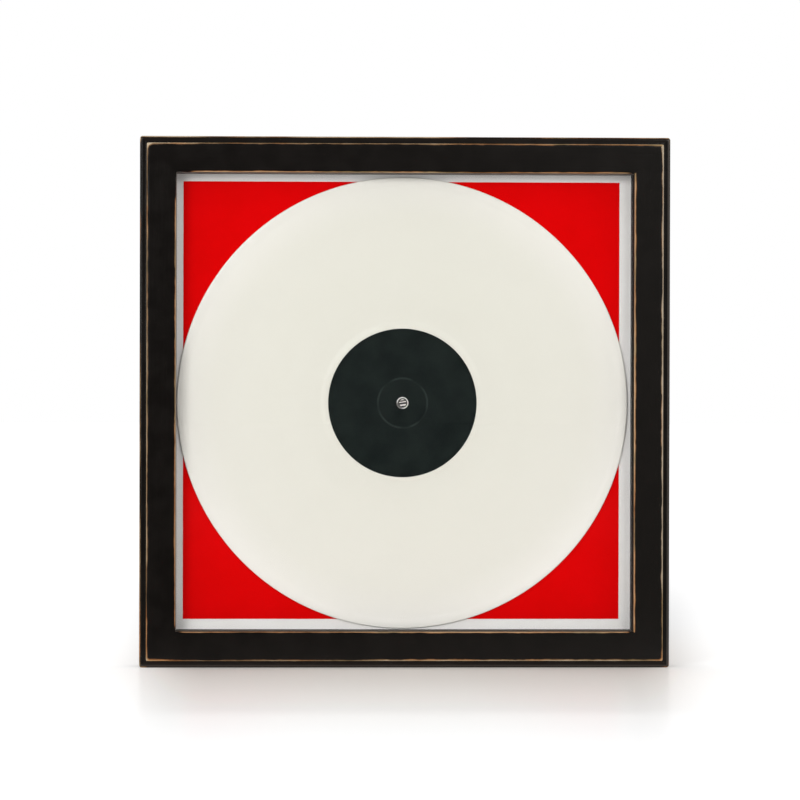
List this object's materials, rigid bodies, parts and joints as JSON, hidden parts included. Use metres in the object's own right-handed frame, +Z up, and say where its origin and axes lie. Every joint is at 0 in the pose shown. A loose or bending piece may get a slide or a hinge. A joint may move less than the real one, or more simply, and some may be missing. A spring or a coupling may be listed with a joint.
{
  "type": "record display frame",
  "caption": "Deep black painted wooden frame that stands or hangs and shows a twelve inch record on a red panel behind clear glazing.",
  "frame": {"origin": "middle of the whole depth and width, on the surface that the bottom rail stands on", "axes": "+Z up, the front looks along -Y and the wall side along +Y, +X to the right seen from the front"},
  "size_m": [0.3534, 0.04, 0.3534],
  "materials": {
    "black_painted_wood": "satin black paint, rubbed through to tan wood along the arrises",
    "clear_glazing": "clear, polished",
    "black_strip": "matt black",
    "cream_record": "glossy cream vinyl with fine grooves",
    "dark_label": "smooth dark green-black paper",
    "red_paper": "smooth saturated red",
    "white_card": "smooth white",
    "fibre_board": "raw medium density fibre board",
    "packing_card": "brown packing card",
    "brown_hardboard": "smooth brown hardboard",
    "white_plastic": "smooth white nylon",
    "bright_steel": "bright plated",
    "plain_steel": "zinc plated, satin",
    "black_rubber": "matt black"
  },
  "bodies": {
    "frame": {"top_rail": "black_painted_wood", "bottom_rail": "black_painted_wood", "left_stile": "black_painted_wood", "right_stile": "black_painted_wood", "corner_v_nails": "plain_steel", "glazing_pane": "clear_glazing", "top_spacer": "black_strip", "bottom_spacer": "black_strip", "left_spacer": "black_strip", "right_spacer": "black_strip", "record_disc": "cream_record", "front_label": "dark_label", "back_label": "dark_label", "red_panel": "red_paper", "sleeve_card": "white_card", "mount_board": "fibre_board", "filler_board": "packing_card", "back_panel": "brown_hardboard", "centre_bush": "white_plastic", "centre_screw": "bright_steel", "centre_washer": "plain_steel", "centre_nut": "plain_steel", "turn_button_screws": "bright_steel", "left_hanger_strap": "plain_steel", "right_hanger_strap": "plain_steel", "hanger_screws": "bright_steel", "wall_bumpers": "black_rubber"},
    "top_button": {"turn_button_top": "plain_steel"},
    "right_button": {"turn_button_right": "plain_steel"},
    "bottom_button": {"turn_button_bottom": "plain_steel"},
    "left_button": {"turn_button_left": "plain_steel"},
    "left_ring": {"left_hanger_ring": "plain_steel"},
    "right_ring": {"right_hanger_ring": "plain_steel"}
  },
  "joints": [
    {"name": "top_button_turn", "type": "hinge", "parent": "frame", "child": "top_button", "pos_m": [0, 0.0158, 0.3415], "axis": [0, 1, 0], "continuous": true},
    {"name": "right_button_turn", "type": "hinge", "parent": "frame", "child": "right_button", "pos_m": [0.1648, 0.0158, 0.1767], "axis": [0, 1, 0], "continuous": true},
    {"name": "bottom_button_turn", "type": "hinge", "parent": "frame", "child": "bottom_button", "pos_m": [0, 0.0158, 0.0119], "axis": [0, 1, 0], "continuous": true},
    {"name": "left_button_turn", "type": "hinge", "parent": "frame", "child": "left_button", "pos_m": [-0.1648, 0.0158, 0.1767], "axis": [0, 1, 0], "continuous": true},
    {"name": "left_ring_swing", "type": "hinge", "parent": "frame", "child": "left_ring", "pos_m": [-0.16792, 0.0173, 0.2674], "axis": [1, 0, 0], "range_deg": [0, 180]},
    {"name": "right_ring_swing", "type": "hinge", "parent": "frame", "child": "right_ring", "pos_m": [0.16792, 0.0173, 0.2674], "axis": [1, 0, 0], "range_deg": [0, 180]}
  ]
}
